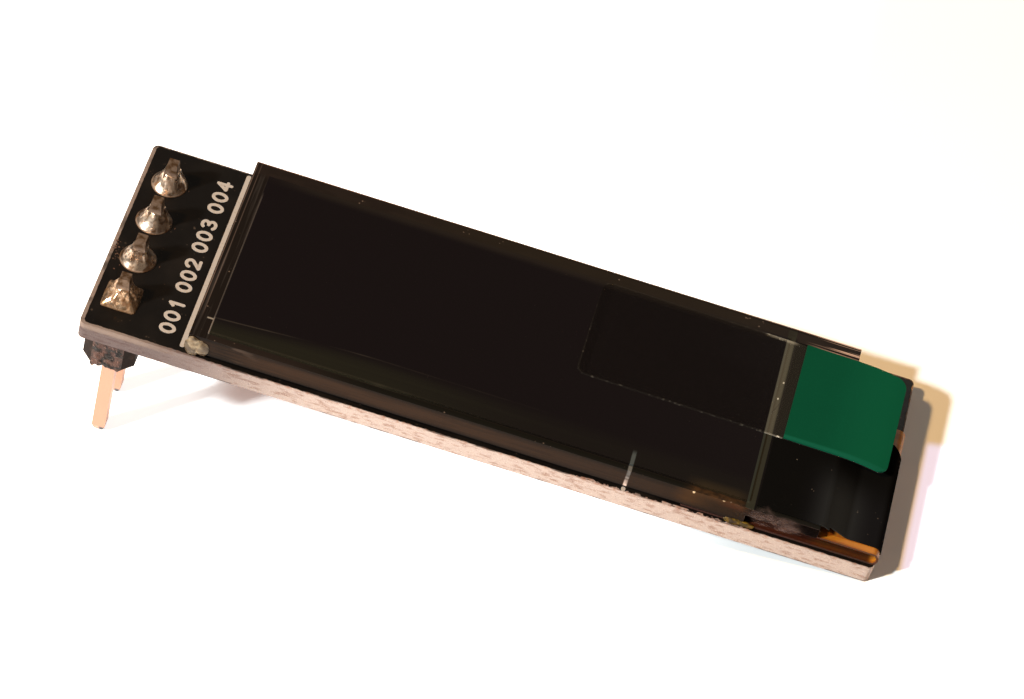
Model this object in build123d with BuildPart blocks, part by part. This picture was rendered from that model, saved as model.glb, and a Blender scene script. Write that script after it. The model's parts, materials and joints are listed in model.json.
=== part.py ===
from build123d import *
import os
from math import atan2, cos, degrees, sin, sqrt, radians

# A small graphic display module: a glass panel on a narrow circuit board, with a pin header at one end.
# It is drawn flat, on the board's own axes: X runs along the board from its header end, Y runs across it
# from its middle, and Z is up from the board's top face. At the end every piece leans over together, to
# lie as the module does on a table: on its four pin tips at one end and on the board's edge at the other.
# All lengths are in millimetres and all angles in degrees.

# Circuit board
board_length = 38.0
board_width = 12.0
board_thickness = 1.0
board_corner_radius = 0.3

# Pin header: square pins through a row of eight-sided plastic segments
pin_count = 4
pin_pitch = 2.54
pin_side = 0.64
pin_row_inset = 1.4
pin_tail = 1.5
pin_reach = 6.0
pin_tip_length = 0.35
pin_tip_side = 0.4
pin_top_side = 0.48
pin_hole_clearance = 0.05
spacer_height = 2.54
spacer_width = 2.5
spacer_corner = 0.5

# Solder joints on the header pads. The shares give the cone's half width and height on its way up
pad_diameter = 1.76
square_pad_side = 1.72
joint_height = 0.88
joint_collar = 0.05
round_joint_shares = ((0.95, 0.14), (0.66, 0.48))
square_joint_share = (0.72, 0.30)
square_joint_corner_share = 0.12

# Display glass: a long front sheet over a shorter rear sheet, held off the board by adhesive tape.
# Its margins are taken from the board's edges, and what lies on it is taken from its own.
glass_start = 5.05
glass_end_margin = 2.95
glass_near_margin = 0.15
glass_far_margin = 0.35
glass_ledge = 3.4
front_glass_thickness = 0.55
rear_glass_thickness = 0.5
panel_tape_thickness = 0.25
panel_tape_margin = 0.5
panel_tape_gap = 1.05

# Sealed space between the two sheets
seal_width = 0.9
seal_thickness = 0.05
pocket_depth = 0.25
emitter_thickness = 0.03
emitter_margin = 0.15
drying_sheet_thickness = 0.12
drying_sheet_margin = 0.8

# Polarizing film on the front sheet
polarizer_thickness = 0.15
polarizer_start_margin = 0.8
polarizer_end_margin = 3.55
polarizer_near_margin = 0.32
polarizer_far_margin = 0.83

# Driver chip on the underside of the front sheet's ledge
chip_length = 6.8
chip_width = 0.9
chip_height = 0.3
chip_gap = 0.45

# Flexible circuit: out from under the glass, round the board's end and back to its solder joints
flex_thickness = 0.1
flex_near_margin = 0.2
flex_far_margin = 4.05
flex_bond_length = 1.3
flex_overhang = 0.05
flex_fold_share = 0.95
flex_foot_inset = 2.95
flex_foot_length = 2.2
flex_foot_far_margin = 2.15
flex_foot_corner = 0.3
flex_joint_thickness = 0.05
flex_joint_count = 14
flex_joint_edge = 0.66
flex_joint_width = 0.32
flex_joint_length = 1.5
flex_joint_toe = 0.3

# Black light-shield tape, from the glass down onto the flexible circuit
shield_thickness = 0.06
shield_gap = 0.5
shield_near_margin = 0.27
shield_far_margin = 0.83
shield_step = 0.12
shield_slope = 1.2
shield_bend_radius = 0.5
shield_apron = 0.3
shield_tail_near_inset = 0.4
shield_tail_far_inset = 1.05
shield_tail_corner = 0.5
shield_end_height = 0.42

# Clear protective film with its pull tab
film_overlap = 9.1
film_end_margin = 0.5
film_width = 6.0
film_thickness = 0.05
film_far_margin = 0.05
film_skew = -0.8
film_corner = 0.5
film_droop_radius = 9.0
tab_length = 5.05
tab_thickness = 0.09
tab_corner = 0.55

# Dabs of adhesive at the glass's near edge. The shares round the second one and draw in its top
end_dab_length = 1.05
end_dab_width = 0.12
end_dab_height = 1.15
end_dab_bevel_share = 0.6
foot_dab_lead = 1.05
foot_dab_length = 1.7
foot_dab_height = 0.24
foot_dab_inset = 0.04
foot_dab_corner_share = 0.4
foot_dab_top_share = 0.8

# Voltage regulator under the board
regulator_length = 2.9
regulator_width = 1.3
regulator_height = 0.95
regulator_standoff = 0.08
regulator_draft = 0.12
regulator_lead_span = 2.4
regulator_lead_pitch = 0.95
regulator_lead_width = 0.4
regulator_lead_thickness = 0.12
regulator_lead_bend = 0.11
regulator_x_share = 0.36

# Chip capacitors and resistors under the board
chip_part_length = 1.6
chip_part_width = 0.8
capacitor_height = 0.75
resistor_height = 0.45
terminal_length = 0.3
terminal_wrap = 0.015
chip_part_edge = 0.04
fillet_reach = 0.25
fillet_height_share = 0.55

# Where each chip part sits: shares of the board's length, then of its width from the middle, and its turn
capacitor_place_shares = (
    (0.599, -0.413, 0),
    (0.500, 0.330, 0),
    (0.575, 0.330, 0),
    (0.650, 0.330, 0),
    (0.725, 0.330, 0),
    (0.800, 0.330, 0),
    (0.285, 0.000, 90),
    (0.435, 0.000, 90),
)
resistor_place_shares = (
    (0.540, -0.120, 90),
    (0.600, -0.120, 90),
    (0.660, -0.120, 90),
    (0.720, -0.120, 90),
)

# Spare length for cuts that pass right through
overrun = 1.0

# Heights that several pieces share
rear_glass_bottom = panel_tape_thickness
rear_glass_top = rear_glass_bottom + rear_glass_thickness
front_glass_bottom = rear_glass_top + seal_thickness
front_glass_top = front_glass_bottom + front_glass_thickness
polarizer_top = front_glass_top + polarizer_thickness
board_bottom = -board_thickness
spacer_bottom = board_bottom - spacer_height
pin_bottom = spacer_bottom - pin_reach

# Places along and across the board that several pieces share
board_middle = board_length / 2
board_near = -board_width / 2
board_far = board_width / 2
glass_end = board_length - glass_end_margin
glass_length = glass_end - glass_start
glass_near = board_near + glass_near_margin
glass_far = board_far - glass_far_margin
glass_width = glass_far - glass_near
glass_axis = (glass_near + glass_far) / 2
rear_glass_end = glass_end - glass_ledge
rear_glass_length = rear_glass_end - glass_start
polarizer_start = glass_start + polarizer_start_margin
polarizer_end = glass_end - polarizer_end_margin
polarizer_near = glass_near + polarizer_near_margin
polarizer_far = glass_far - polarizer_far_margin
flex_foot_start = rear_glass_end - flex_foot_inset
pin_rows = [(i - (pin_count - 1) / 2) * pin_pitch for i in range(pin_count)]
pin_hole_diameter = sqrt(2) * pin_side + 2 * pin_hole_clearance

# How the module rests: its low points are the pin tips' far edge and the board's far bottom edge
tip_reach = pin_row_inset + pin_tip_side / 2
lean = degrees(atan2(board_bottom - pin_bottom, board_length - tip_reach))

finished = {}


def keep(piece, name):
    """Name a finished piece, to be leaned over and written with the others."""
    piece.part.label = name
    finished[name] = piece.part


# Circuit board with its row of plated holes
with BuildPart() as circuit_board:
    with BuildSketch():
        with Locations((board_middle, 0)):
            RectangleRounded(board_length, board_width, board_corner_radius)
        with Locations(*[(pin_row_inset, y) for y in pin_rows]):
            Circle(pin_hole_diameter / 2, mode=Mode.SUBTRACT)
    extrude(amount=-board_thickness)
keep(circuit_board, "circuit_board")

# Header spacer: one eight-sided segment for each pin, joined side to side
with BuildPart() as header_spacer:
    with BuildSketch(Plane.XY.offset(board_bottom)):
        for y in pin_rows:
            with BuildSketch(Plane.XY.offset(board_bottom), mode=Mode.PRIVATE) as segment:
                with Locations((pin_row_inset, y)):
                    Rectangle(spacer_width, pin_pitch)
                chamfer(segment.vertices(), spacer_corner)
            add(segment.sketch)
        with Locations(*[(pin_row_inset, y) for y in pin_rows]):
            Rectangle(pin_side, pin_side, mode=Mode.SUBTRACT)
    extrude(amount=-spacer_height)
keep(header_spacer, "header_spacer")

# Header pins, each a square bar with a tapered tip, drawn in again above its solder
for number, y in enumerate(pin_rows, start=1):
    with BuildPart() as header_pin:
        with BuildSketch(Plane.XY.offset(pin_bottom + pin_tip_length)):
            with Locations((pin_row_inset, y)):
                Rectangle(pin_side, pin_side)
        extrude(amount=joint_height - pin_bottom - pin_tip_length)
        for shoulder, end, end_side in (
            (pin_bottom + pin_tip_length, pin_bottom, pin_tip_side),
            (joint_height, pin_tail, pin_top_side),
        ):
            with BuildSketch(Plane.XY.offset(shoulder)):
                with Locations((pin_row_inset, y)):
                    Rectangle(pin_side, pin_side)
            with BuildSketch(Plane.XY.offset(end)):
                with Locations((pin_row_inset, y)):
                    Rectangle(end_side, end_side)
            loft()
    keep(header_pin, f"header_pin_{number}")

# Solder joints: a cone drawn up each pin, and the solder that fills the hole below it
joint_neck = pin_side / 2 + joint_collar
for number, y in enumerate(pin_rows, start=1):
    with BuildPart() as solder_joint:
        pin_axis = Plane(origin=(pin_row_inset, y, 0))
        if number == 1:
            # The first pin has a square pad, so its solder starts square and draws in to the pin
            waist_share, waist_height_share = square_joint_share
            for side, height in (
                (square_pad_side, 0),
                (waist_share * square_pad_side, waist_height_share * joint_height),
                (2 * joint_neck, joint_height),
            ):
                with BuildSketch(pin_axis.offset(height)):
                    RectangleRounded(side, side, square_joint_corner_share * side)
            loft()
        else:
            with BuildSketch(Plane(origin=pin_axis.origin, x_dir=(1, 0, 0), z_dir=(0, -1, 0))):
                with BuildLine():
                    foot = Line((0, 0), (pad_diameter / 2, 0))
                    crown = Line((0, joint_height), (joint_neck, joint_height))
                    Line(foot @ 0, crown @ 0)
                    flank = [
                        (width_share * pad_diameter / 2, height_share * joint_height)
                        for width_share, height_share in round_joint_shares
                    ]
                    Spline(foot @ 1, *flank, crown @ 1, tangents=((0, 1), (0, 1)))
                make_face()
            revolve(axis=Axis(pin_axis.origin, (0, 0, 1)))
        with BuildSketch(pin_axis):
            Circle(pin_hole_diameter / 2)
        extrude(amount=-board_thickness)
        with BuildSketch(pin_axis.offset(-board_thickness)):
            Rectangle(pin_side, pin_side)
        extrude(amount=board_thickness + joint_height, mode=Mode.SUBTRACT)
    keep(solder_joint, f"solder_joint_{number}")

# Adhesive tape that holds the panel to the board, ending short of the flexible circuit's foot
panel_tape_end = flex_foot_start - flex_joint_toe - panel_tape_gap
with BuildPart() as panel_tape:
    with BuildSketch():
        with Locations((glass_start + panel_tape_margin, glass_axis)):
            Rectangle(
                panel_tape_end - glass_start - panel_tape_margin,
                glass_width - 2 * panel_tape_margin,
                align=(Align.MIN, Align.CENTER),
            )
    extrude(amount=panel_tape_thickness)
keep(panel_tape, "panel_tape")

# Rear glass with its shallow pocket
pocket_length = rear_glass_length - 2 * seal_width
pocket_width = glass_width - 2 * seal_width
with BuildPart() as rear_glass:
    with BuildSketch(Plane.XY.offset(rear_glass_bottom)):
        with Locations((glass_start, glass_axis)):
            Rectangle(rear_glass_length, glass_width, align=(Align.MIN, Align.CENTER))
    extrude(amount=rear_glass_thickness)
    with BuildSketch(Plane.XY.offset(rear_glass_top)):
        with Locations((glass_start + seal_width, glass_axis)):
            Rectangle(pocket_length, pocket_width, align=(Align.MIN, Align.CENTER))
    extrude(amount=-pocket_depth, mode=Mode.SUBTRACT)
keep(rear_glass, "rear_glass")

# Drying sheet on the pocket's floor
with BuildPart() as drying_sheet:
    with BuildSketch(Plane.XY.offset(rear_glass_top - pocket_depth)):
        with Locations((glass_start + seal_width + drying_sheet_margin, glass_axis)):
            Rectangle(
                pocket_length - 2 * drying_sheet_margin,
                pocket_width - 2 * drying_sheet_margin,
                align=(Align.MIN, Align.CENTER),
            )
    extrude(amount=drying_sheet_thickness)
keep(drying_sheet, "drying_sheet")

# Resin seal, a thin frame between the two sheets
with BuildPart() as edge_seal:
    with BuildSketch(Plane.XY.offset(rear_glass_top)):
        with Locations((glass_start, glass_axis)):
            Rectangle(rear_glass_length, glass_width, align=(Align.MIN, Align.CENTER))
        with Locations((glass_start + seal_width, glass_axis)):
            Rectangle(
                pocket_length,
                pocket_width,
                align=(Align.MIN, Align.CENTER),
                mode=Mode.SUBTRACT,
            )
    extrude(amount=seal_thickness)
keep(edge_seal, "edge_seal")

# Light-emitting layer on the front sheet's underside, inside the seal
with BuildPart() as emitter_layer:
    with BuildSketch(Plane.XY.offset(front_glass_bottom)):
        with Locations((glass_start + seal_width + emitter_margin, glass_axis)):
            Rectangle(
                pocket_length - 2 * emitter_margin,
                pocket_width - 2 * emitter_margin,
                align=(Align.MIN, Align.CENTER),
            )
    extrude(amount=-emitter_thickness)
keep(emitter_layer, "emitter_layer")

# Front glass
with BuildPart() as front_glass:
    with BuildSketch(Plane.XY.offset(front_glass_bottom)):
        with Locations((glass_start, glass_axis)):
            Rectangle(glass_length, glass_width, align=(Align.MIN, Align.CENTER))
    extrude(amount=front_glass_thickness)
keep(front_glass, "front_glass")

# Polarizing film
with BuildPart() as polarizer:
    with BuildSketch(Plane.XY.offset(front_glass_top)):
        with Locations((polarizer_start, polarizer_near)):
            Rectangle(
                polarizer_end - polarizer_start,
                polarizer_far - polarizer_near,
                align=(Align.MIN, Align.MIN),
            )
    extrude(amount=polarizer_thickness)
keep(polarizer, "polarizer")

# Driver chip under the ledge of the front glass
with BuildPart() as driver_chip:
    with BuildSketch(Plane.XY.offset(front_glass_bottom)):
        with Locations((rear_glass_end + chip_gap, glass_axis)):
            Rectangle(chip_width, chip_length, align=(Align.MIN, Align.CENTER))
    extrude(amount=-chip_height)
keep(driver_chip, "driver_chip")

# Flexible circuit: one folded strip, drawn from the side and then trimmed to its outline from above
flex_upper = front_glass_bottom - flex_thickness / 2
flex_lower = flex_joint_thickness + flex_thickness / 2
flex_turn = board_length + flex_overhang - flex_thickness / 2
flex_fold_radius = flex_fold_share * (flex_upper - flex_lower) / 2
flex_near = board_near + flex_near_margin
flex_width = board_far - flex_far_margin - flex_near
flex_foot_width = board_far - flex_foot_far_margin - flex_near
with BuildPart() as flex_cable:
    with BuildSketch(Plane.XZ):
        with BuildLine() as flex_run:
            FilletPolyline(
                (glass_end - flex_bond_length, flex_upper),
                (flex_turn, flex_upper),
                (flex_turn, flex_lower),
                (flex_foot_start, flex_lower),
                radius=flex_fold_radius,
            )
        trace(flex_run.line, line_width=flex_thickness)
    extrude(amount=board_width, both=True)
    with BuildSketch(Plane.XY.offset(-overrun)):
        with Locations((flex_foot_start, flex_near)):
            Rectangle(board_length, flex_width, align=(Align.MIN, Align.MIN))
            foot = Rectangle(flex_foot_length, flex_foot_width, align=(Align.MIN, Align.MIN))
        fillet(foot.vertices().group_by(Axis.Y)[-1], flex_foot_corner)
    extrude(amount=polarizer_top + 2 * overrun, mode=Mode.INTERSECT)
keep(flex_cable, "flex_cable")

# Solder joints of the flexible circuit: one sliver of solder under each contact, with a small toe
flex_joint_run = flex_foot_width - 2 * flex_joint_edge - flex_joint_width
with BuildPart() as flex_joints:
    for step in range(flex_joint_count):
        joint_far = flex_near + flex_joint_edge + flex_joint_width
        joint_far += flex_joint_run * step / (flex_joint_count - 1)
        with BuildSketch(Plane.XZ.offset(-joint_far)):
            with BuildLine():
                Polyline(
                    (flex_foot_start - flex_joint_toe, 0),
                    (flex_foot_start, flex_joint_thickness + flex_thickness),
                    (flex_foot_start, flex_joint_thickness),
                    (flex_foot_start + flex_joint_length, flex_joint_thickness),
                    (flex_foot_start + flex_joint_length, 0),
                    close=True,
                )
            make_face()
        extrude(amount=flex_joint_width)
keep(flex_joints, "flex_joints")

# Black light-shield tape: over the glass's free end, down its edge and along the folded circuit
shield_start = polarizer_end + shield_gap
shield_upper = front_glass_top + shield_thickness / 2
shield_lower = front_glass_bottom + shield_thickness / 2
shield_turn = flex_turn + (flex_thickness + shield_thickness) / 2
shield_fold_radius = flex_fold_radius + (flex_thickness + shield_thickness) / 2
shield_crest = glass_end + shield_step
shield_landing = shield_crest + shield_slope
with BuildPart() as light_shield:
    with BuildSketch(Plane.XZ):
        with BuildLine() as shield_run:
            FilletPolyline(
                (shield_start, shield_upper),
                (shield_crest, shield_upper),
                (shield_landing, shield_lower),
                (shield_turn, shield_lower),
                (shield_turn, shield_end_height),
                radius=[
                    shield_bend_radius,
                    shield_bend_radius,
                    shield_fold_radius,
                ],
            )
        trace(shield_run.line, line_width=shield_thickness)
    extrude(amount=board_width, both=True)
    with BuildSketch(Plane.XY.offset(-overrun)):
        with Locations((shield_start, glass_near + shield_near_margin)):
            Rectangle(
                shield_crest + shield_apron - shield_start,
                glass_width - shield_near_margin - shield_far_margin,
                align=(Align.MIN, Align.MIN),
            )
        with Locations((shield_start, flex_near + shield_tail_near_inset)):
            tail = Rectangle(
                shield_turn + shield_thickness / 2 - shield_start,
                flex_width - shield_tail_near_inset - shield_tail_far_inset,
                align=(Align.MIN, Align.MIN),
            )
        chamfer(tail.vertices().group_by(Axis.X)[-1].sort_by(Axis.Y)[-1], shield_tail_corner)
    extrude(amount=polarizer_top + 2 * overrun, mode=Mode.INTERSECT)
keep(light_shield, "light_shield")

# Clear protective film: flat on the polarizer, drooping a little where it passes the glass's end
film_start = polarizer_end - film_overlap
film_length = board_length - film_end_margin - film_start
film_flat_length = glass_end - film_start
film_base = Plane(
    origin=(film_start, polarizer_far - film_far_margin - film_width / 2, polarizer_top),
    x_dir=(cos(radians(film_skew)), sin(radians(film_skew)), 0),
    z_dir=(0, 0, 1),
)
film_side = Plane(origin=film_base.origin, x_dir=film_base.x_dir, z_dir=-film_base.y_dir)
film_droop_angle = degrees((film_length - film_flat_length) / film_droop_radius)
with BuildPart() as clear_film:
    with BuildSketch(film_side):
        with BuildLine() as film_run:
            film_flat = Line((0, film_thickness / 2), (film_flat_length, film_thickness / 2))
            JernArc(film_flat @ 1, film_flat % 1, film_droop_radius, -film_droop_angle)
        trace(film_run.line, line_width=film_thickness)
    extrude(amount=film_width, both=True)
    with BuildSketch(film_base.offset(-overrun)):
        with Locations((film_length / 2, 0)):
            RectangleRounded(film_length, film_width, film_corner)
    extrude(amount=2 * overrun, mode=Mode.INTERSECT)
keep(clear_film, "clear_film")

# Pull tab, laid on the film's free end and following its droop
tab_start = film_length - tab_length
tab_droop_radius = film_droop_radius + (film_thickness + tab_thickness) / 2
with BuildPart() as pull_tab:
    with BuildSketch(film_side):
        with BuildLine() as tab_run:
            tab_height = film_thickness + tab_thickness / 2
            tab_flat = Line((tab_start, tab_height), (film_flat_length, tab_height))
            JernArc(tab_flat @ 1, tab_flat % 1, tab_droop_radius, -film_droop_angle)
        trace(tab_run.line, line_width=tab_thickness)
    extrude(amount=film_width, both=True)
    with BuildSketch(film_base.offset(-overrun)):
        with Locations((film_length - tab_length / 2, 0)):
            tab_outline = Rectangle(tab_length, film_width)
        fillet(tab_outline.vertices().sort_by(Axis.X)[-2:], tab_corner)
    extrude(amount=2 * overrun, mode=Mode.INTERSECT)
keep(pull_tab, "pull_tab")

# Dab of adhesive that tacks the glass's near corner to the board
with BuildPart() as end_dab:
    with BuildSketch():
        with Locations((glass_start, glass_near)):
            Rectangle(end_dab_length, end_dab_width, align=(Align.MIN, Align.MAX))
    extrude(amount=end_dab_height)
    chamfer(
        end_dab.faces().sort_by(Axis.Z)[-1].edges().sort_by(Axis.Y)[0],
        end_dab_bevel_share * end_dab_width,
    )
keep(end_dab, "end_dab")

# Dab of adhesive on the board beside the flexible circuit's foot
foot_dab_width = flex_near_margin - foot_dab_inset
foot_dab_middle = (
    rear_glass_end - foot_dab_lead + foot_dab_length / 2,
    board_near + foot_dab_inset + foot_dab_width / 2,
)
with BuildPart() as foot_dab:
    for height, share in ((0, 1), (foot_dab_height, foot_dab_top_share)):
        with BuildSketch(Plane.XY.offset(height)):
            with Locations(foot_dab_middle):
                RectangleRounded(
                    share * foot_dab_length,
                    share * foot_dab_width,
                    foot_dab_corner_share * share * foot_dab_width,
                )
    loft()
keep(foot_dab, "foot_dab")

# Voltage regulator: a small moulded body on three bent leads
regulator_plane = Plane(
    origin=(regulator_x_share * board_length, 0, board_bottom),
    x_dir=(1, 0, 0),
    z_dir=(0, 0, -1),
)
regulator_waist = (regulator_standoff + regulator_height) / 2
regulator_belt = regulator_lead_thickness / 2
with BuildPart() as regulator:
    with BuildSketch(regulator_plane.offset(regulator_waist - regulator_belt)):
        Rectangle(regulator_length, regulator_width)
    extrude(amount=regulator_lead_thickness)
    for belt_edge, face in (
        (regulator_waist - regulator_belt, regulator_standoff),
        (regulator_waist + regulator_belt, regulator_height),
    ):
        with BuildSketch(regulator_plane.offset(belt_edge)):
            Rectangle(regulator_length, regulator_width)
        with BuildSketch(regulator_plane.offset(face)):
            Rectangle(
                regulator_length - 2 * regulator_draft,
                regulator_width - 2 * regulator_draft,
            )
        loft()
keep(regulator, "regulator")

# Its leads: two on one side and one on the other, out at the waist and down to the board's pads
lead_start = regulator_width / 2
lead_end = regulator_lead_span / 2
lead_bend = (lead_start + lead_end) / 2
with BuildPart() as regulator_leads:
    for along, side in ((-regulator_lead_pitch, -1), (regulator_lead_pitch, -1), (0, 1)):
        lead_edge = regulator_plane.from_local_coords((along + regulator_lead_width / 2, 0, 0))
        with BuildSketch(Plane(origin=lead_edge, x_dir=(0, side, 0), z_dir=(side, 0, 0))):
            with BuildLine() as lead_run:
                FilletPolyline(
                    (lead_start, -regulator_waist),
                    (lead_bend, -regulator_waist),
                    (lead_bend, -regulator_belt),
                    (lead_end, -regulator_belt),
                    radius=regulator_lead_bend,
                )
            trace(lead_run.line, line_width=regulator_lead_thickness)
        extrude(amount=-side * regulator_lead_width)
keep(regulator_leads, "regulator_leads")


def chip_plane(place_shares):
    """The plane of a chip part's pads: its X runs from end to end and its Z points down from the board."""
    along, across, turn = place_shares
    return Plane(
        origin=(along * board_length, across * board_width, board_bottom),
        x_dir=(cos(radians(turn)), sin(radians(turn)), 0),
        z_dir=(0, 0, -1),
    )


def chip_part(plane, height):
    """A block with a slightly thicker metal cap on each end."""
    with BuildPart() as block:
        with BuildSketch(plane.offset(terminal_wrap)):
            Rectangle(chip_part_length - terminal_length, chip_part_width - 2 * terminal_wrap)
        extrude(amount=height - 2 * terminal_wrap)
        with BuildSketch(plane):
            with Locations(
                (-(chip_part_length - terminal_length) / 2, 0),
                ((chip_part_length - terminal_length) / 2, 0),
            ):
                Rectangle(terminal_length, chip_part_width)
        extrude(amount=height)
        outer = Axis(plane.origin, plane.x_dir)
        for end in (0, -1):
            chamfer(block.faces().sort_by(outer)[end].edges(), chip_part_edge)
    return block


capacitor_planes = [chip_plane(shares) for shares in capacitor_place_shares]
for number, plane in enumerate(capacitor_planes, start=1):
    keep(chip_part(plane, capacitor_height), f"capacitor_{number}")

resistor_planes = [chip_plane(shares) for shares in resistor_place_shares]
for number, plane in enumerate(resistor_planes, start=1):
    keep(chip_part(plane, resistor_height), f"resistor_{number}")

# Solder fillets at both ends of every chip part
with BuildPart() as chip_solder:
    fillet_runs = [(plane, capacitor_height) for plane in capacitor_planes]
    fillet_runs += [(plane, resistor_height) for plane in resistor_planes]
    for plane, height in fillet_runs:
        for side in (-1, 1):
            end_face = side * chip_part_length / 2
            with BuildSketch(
                Plane(
                    origin=plane.from_local_coords((0, -chip_part_width / 2, 0)),
                    x_dir=plane.x_dir,
                    z_dir=-plane.y_dir,
                )
            ):
                with BuildLine():
                    Polyline(
                        (end_face, chip_part_edge),
                        (end_face, fillet_height_share * height),
                        (end_face + side * fillet_reach, 0),
                        (end_face - side * chip_part_edge, 0),
                        close=True,
                    )
                make_face()
            extrude(amount=-chip_part_width)
keep(chip_solder, "chip_solder")

# Lean every piece over onto its resting points, with the origin under the middle of the whole module
leaned = {name: part.rotate(Axis.Y, lean) for name, part in finished.items()}
reaches = [part.bounding_box() for part in leaned.values()]
ground = (
    -(min(reach.min.X for reach in reaches) + max(reach.max.X for reach in reaches)) / 2,
    -(min(reach.min.Y for reach in reaches) + max(reach.max.Y for reach in reaches)) / 2,
    -min(reach.min.Z for reach in reaches),
)

os.makedirs("parts", exist_ok=True)
for name, part in leaned.items():
    resting = part.translate(ground)
    resting.label = name
    export_step(resting, f"parts/{name}.step")

print("lean", round(lean, 4), "ground", [round(value, 5) for value in ground])
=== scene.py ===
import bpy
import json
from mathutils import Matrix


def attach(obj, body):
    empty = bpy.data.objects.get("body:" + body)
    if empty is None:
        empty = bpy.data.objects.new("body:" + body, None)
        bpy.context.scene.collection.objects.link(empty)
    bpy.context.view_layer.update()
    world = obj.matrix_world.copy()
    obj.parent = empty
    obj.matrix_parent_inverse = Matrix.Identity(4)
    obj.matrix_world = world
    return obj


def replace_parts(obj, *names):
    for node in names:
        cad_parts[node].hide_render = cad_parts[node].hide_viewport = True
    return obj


bl_info = {
    "name": "Small display module",
    "version": (1, 0, 0),
    "blender": (4, 5, 0),
    "location": "View3D > Sidebar > Display module",
    "description": "Finishes a small graphic display module and its fine details, and sets its stage",
    "category": "Object",
}

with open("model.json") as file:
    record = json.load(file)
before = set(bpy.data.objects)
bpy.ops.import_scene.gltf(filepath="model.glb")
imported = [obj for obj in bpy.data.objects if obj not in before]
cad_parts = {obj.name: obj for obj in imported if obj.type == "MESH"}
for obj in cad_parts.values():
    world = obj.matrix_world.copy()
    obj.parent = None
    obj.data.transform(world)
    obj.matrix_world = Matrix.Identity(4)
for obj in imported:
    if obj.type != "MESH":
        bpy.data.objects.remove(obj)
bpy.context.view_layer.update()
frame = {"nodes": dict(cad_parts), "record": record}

import json
import random
from math import atan2, cos, pi, radians, sin, tau

import bmesh
import bpy
from mathutils import Matrix, Vector, noise

# Everything is placed on the board's own axes, in millimetres: X runs along the board from its header
# end, Y runs across it from its middle, and Z is up from its top face. The board leans as it rests.
MM = 0.001
BODY = "root"
SEAT_AXIS = next(m["axis"] for m in frame["record"]["mounts"] if m["name"] == "header_seat")
LEAN = atan2(-SEAT_AXIS[0], -SEAT_AXIS[2])
TURN = Matrix.Rotation(LEAN, 4, "Y")


def node_points(node, axes):
    """A CAD node's vertices on other axes, which a matrix gives."""
    return [axes @ vertex.co for vertex in frame["nodes"][node].data.vertices]


def extremes(points):
    """The lowest and highest corners of the box round some points."""
    return [Vector([pick(point[axis] for point in points) for axis in range(3)]) for pick in (min, max)]


BOARD_LOW, BOARD_HIGH = extremes(node_points("circuit_board", TURN.inverted()))
ORIGIN = TURN @ Vector((BOARD_LOW.x, (BOARD_LOW.y + BOARD_HIGH.y) / 2, BOARD_HIGH.z))
BOARD = Matrix.Translation(ORIGIN) @ TURN @ Matrix.Scale(MM, 4)
TO_BOARD = BOARD.inverted()


def corners(node):
    """A CAD node's lowest and highest corners on the board's axes, in millimetres."""
    return extremes(node_points(node, TO_BOARD))


def numbered(name, count):
    """The names of like nodes, which end in their numbers."""
    return [f"{name}_{number}" for number in range(1, count + 1)]


BOARD_START, BOARD_END = corners("circuit_board")
GLASS_START, GLASS_END = corners("front_glass")
REAR_START, REAR_END = corners("rear_glass")
POLARIZER_START, POLARIZER_END = corners("polarizer")
SHIELD_START, SHIELD_END = corners("light_shield")
SPACER_START, SPACER_END = corners("header_spacer")
PIN_START, PIN_END = corners("header_pin_1")
FLEX_START, FLEX_END = corners("flex_cable")
TAB_START, TAB_END = corners("pull_tab")
PINS = numbered("header_pin", 4)
PIN_ROWS = [sum(corner.y for corner in corners(pin)) / 2 for pin in PINS]
PIN_X = (PIN_START.x + PIN_END.x) / 2
PIN_SIDE = PIN_END.x - PIN_START.x
# The bare strip of glass between the polarizer and the tape's dark edge
BARE_START = POLARIZER_END.x
BARE_END = SHIELD_START.x - 0.09


def srgb(red, green, blue):
    """A colour read off a screen, 0 to 255, as the linear values of shaders."""
    shares = [value / 255 for value in (red, green, blue)]
    return tuple(s / 12.92 if s <= 0.04045 else ((s + 0.055) / 1.055) ** 2.4 for s in shares)


def colour_prop(name, colour):
    """A colour that a user may change, read off a screen."""
    return bpy.props.FloatVectorProperty(
        name=name, description=f"Colour of the {name.lower()}", default=srgb(*colour),
        subtype="COLOR", size=3, min=0, max=1,
    )


def number_prop(name, description, default, unit, **limits):
    """A number that a user may change."""
    return bpy.props.FloatProperty(name=name, description=description, default=default, unit=unit, **limits)


def length_prop(name, description, millimetres):
    """A length that a user may change."""
    return number_prop(name, description, millimetres * MM, "LENGTH", min=0, precision=5)


def angle_prop(name, description, degrees):
    """An angle that a user may change."""
    return number_prop(name, description, radians(degrees), "ROTATION")


class BoardSettings(bpy.types.PropertyGroup):
    """Finishes of the circuit board and its print."""

    mask: colour_prop("Solder mask", (14, 11, 9))
    laminate: colour_prop("Laminate's sides", (179, 161, 153))
    print_colour: colour_prop("Printed marks", (170, 158, 148))
    line_width: length_prop("Line width", "Width of the printed line beside the glass", 0.23)
    stroke_width: length_prop("Stroke width", "Width of the numbers' strokes", 0.165)
    number_height: length_prop("Number height", "Height of the printed numbers", 0.8)
    number_width: length_prop("Number width", "Width of one printed number", 0.62)
    number_pitch: length_prop("Number pitch", "Distance from one number to the next", 0.77)
    print_thickness: length_prop("Print thickness", "Thickness of the printed ink", 0.02)


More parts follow.
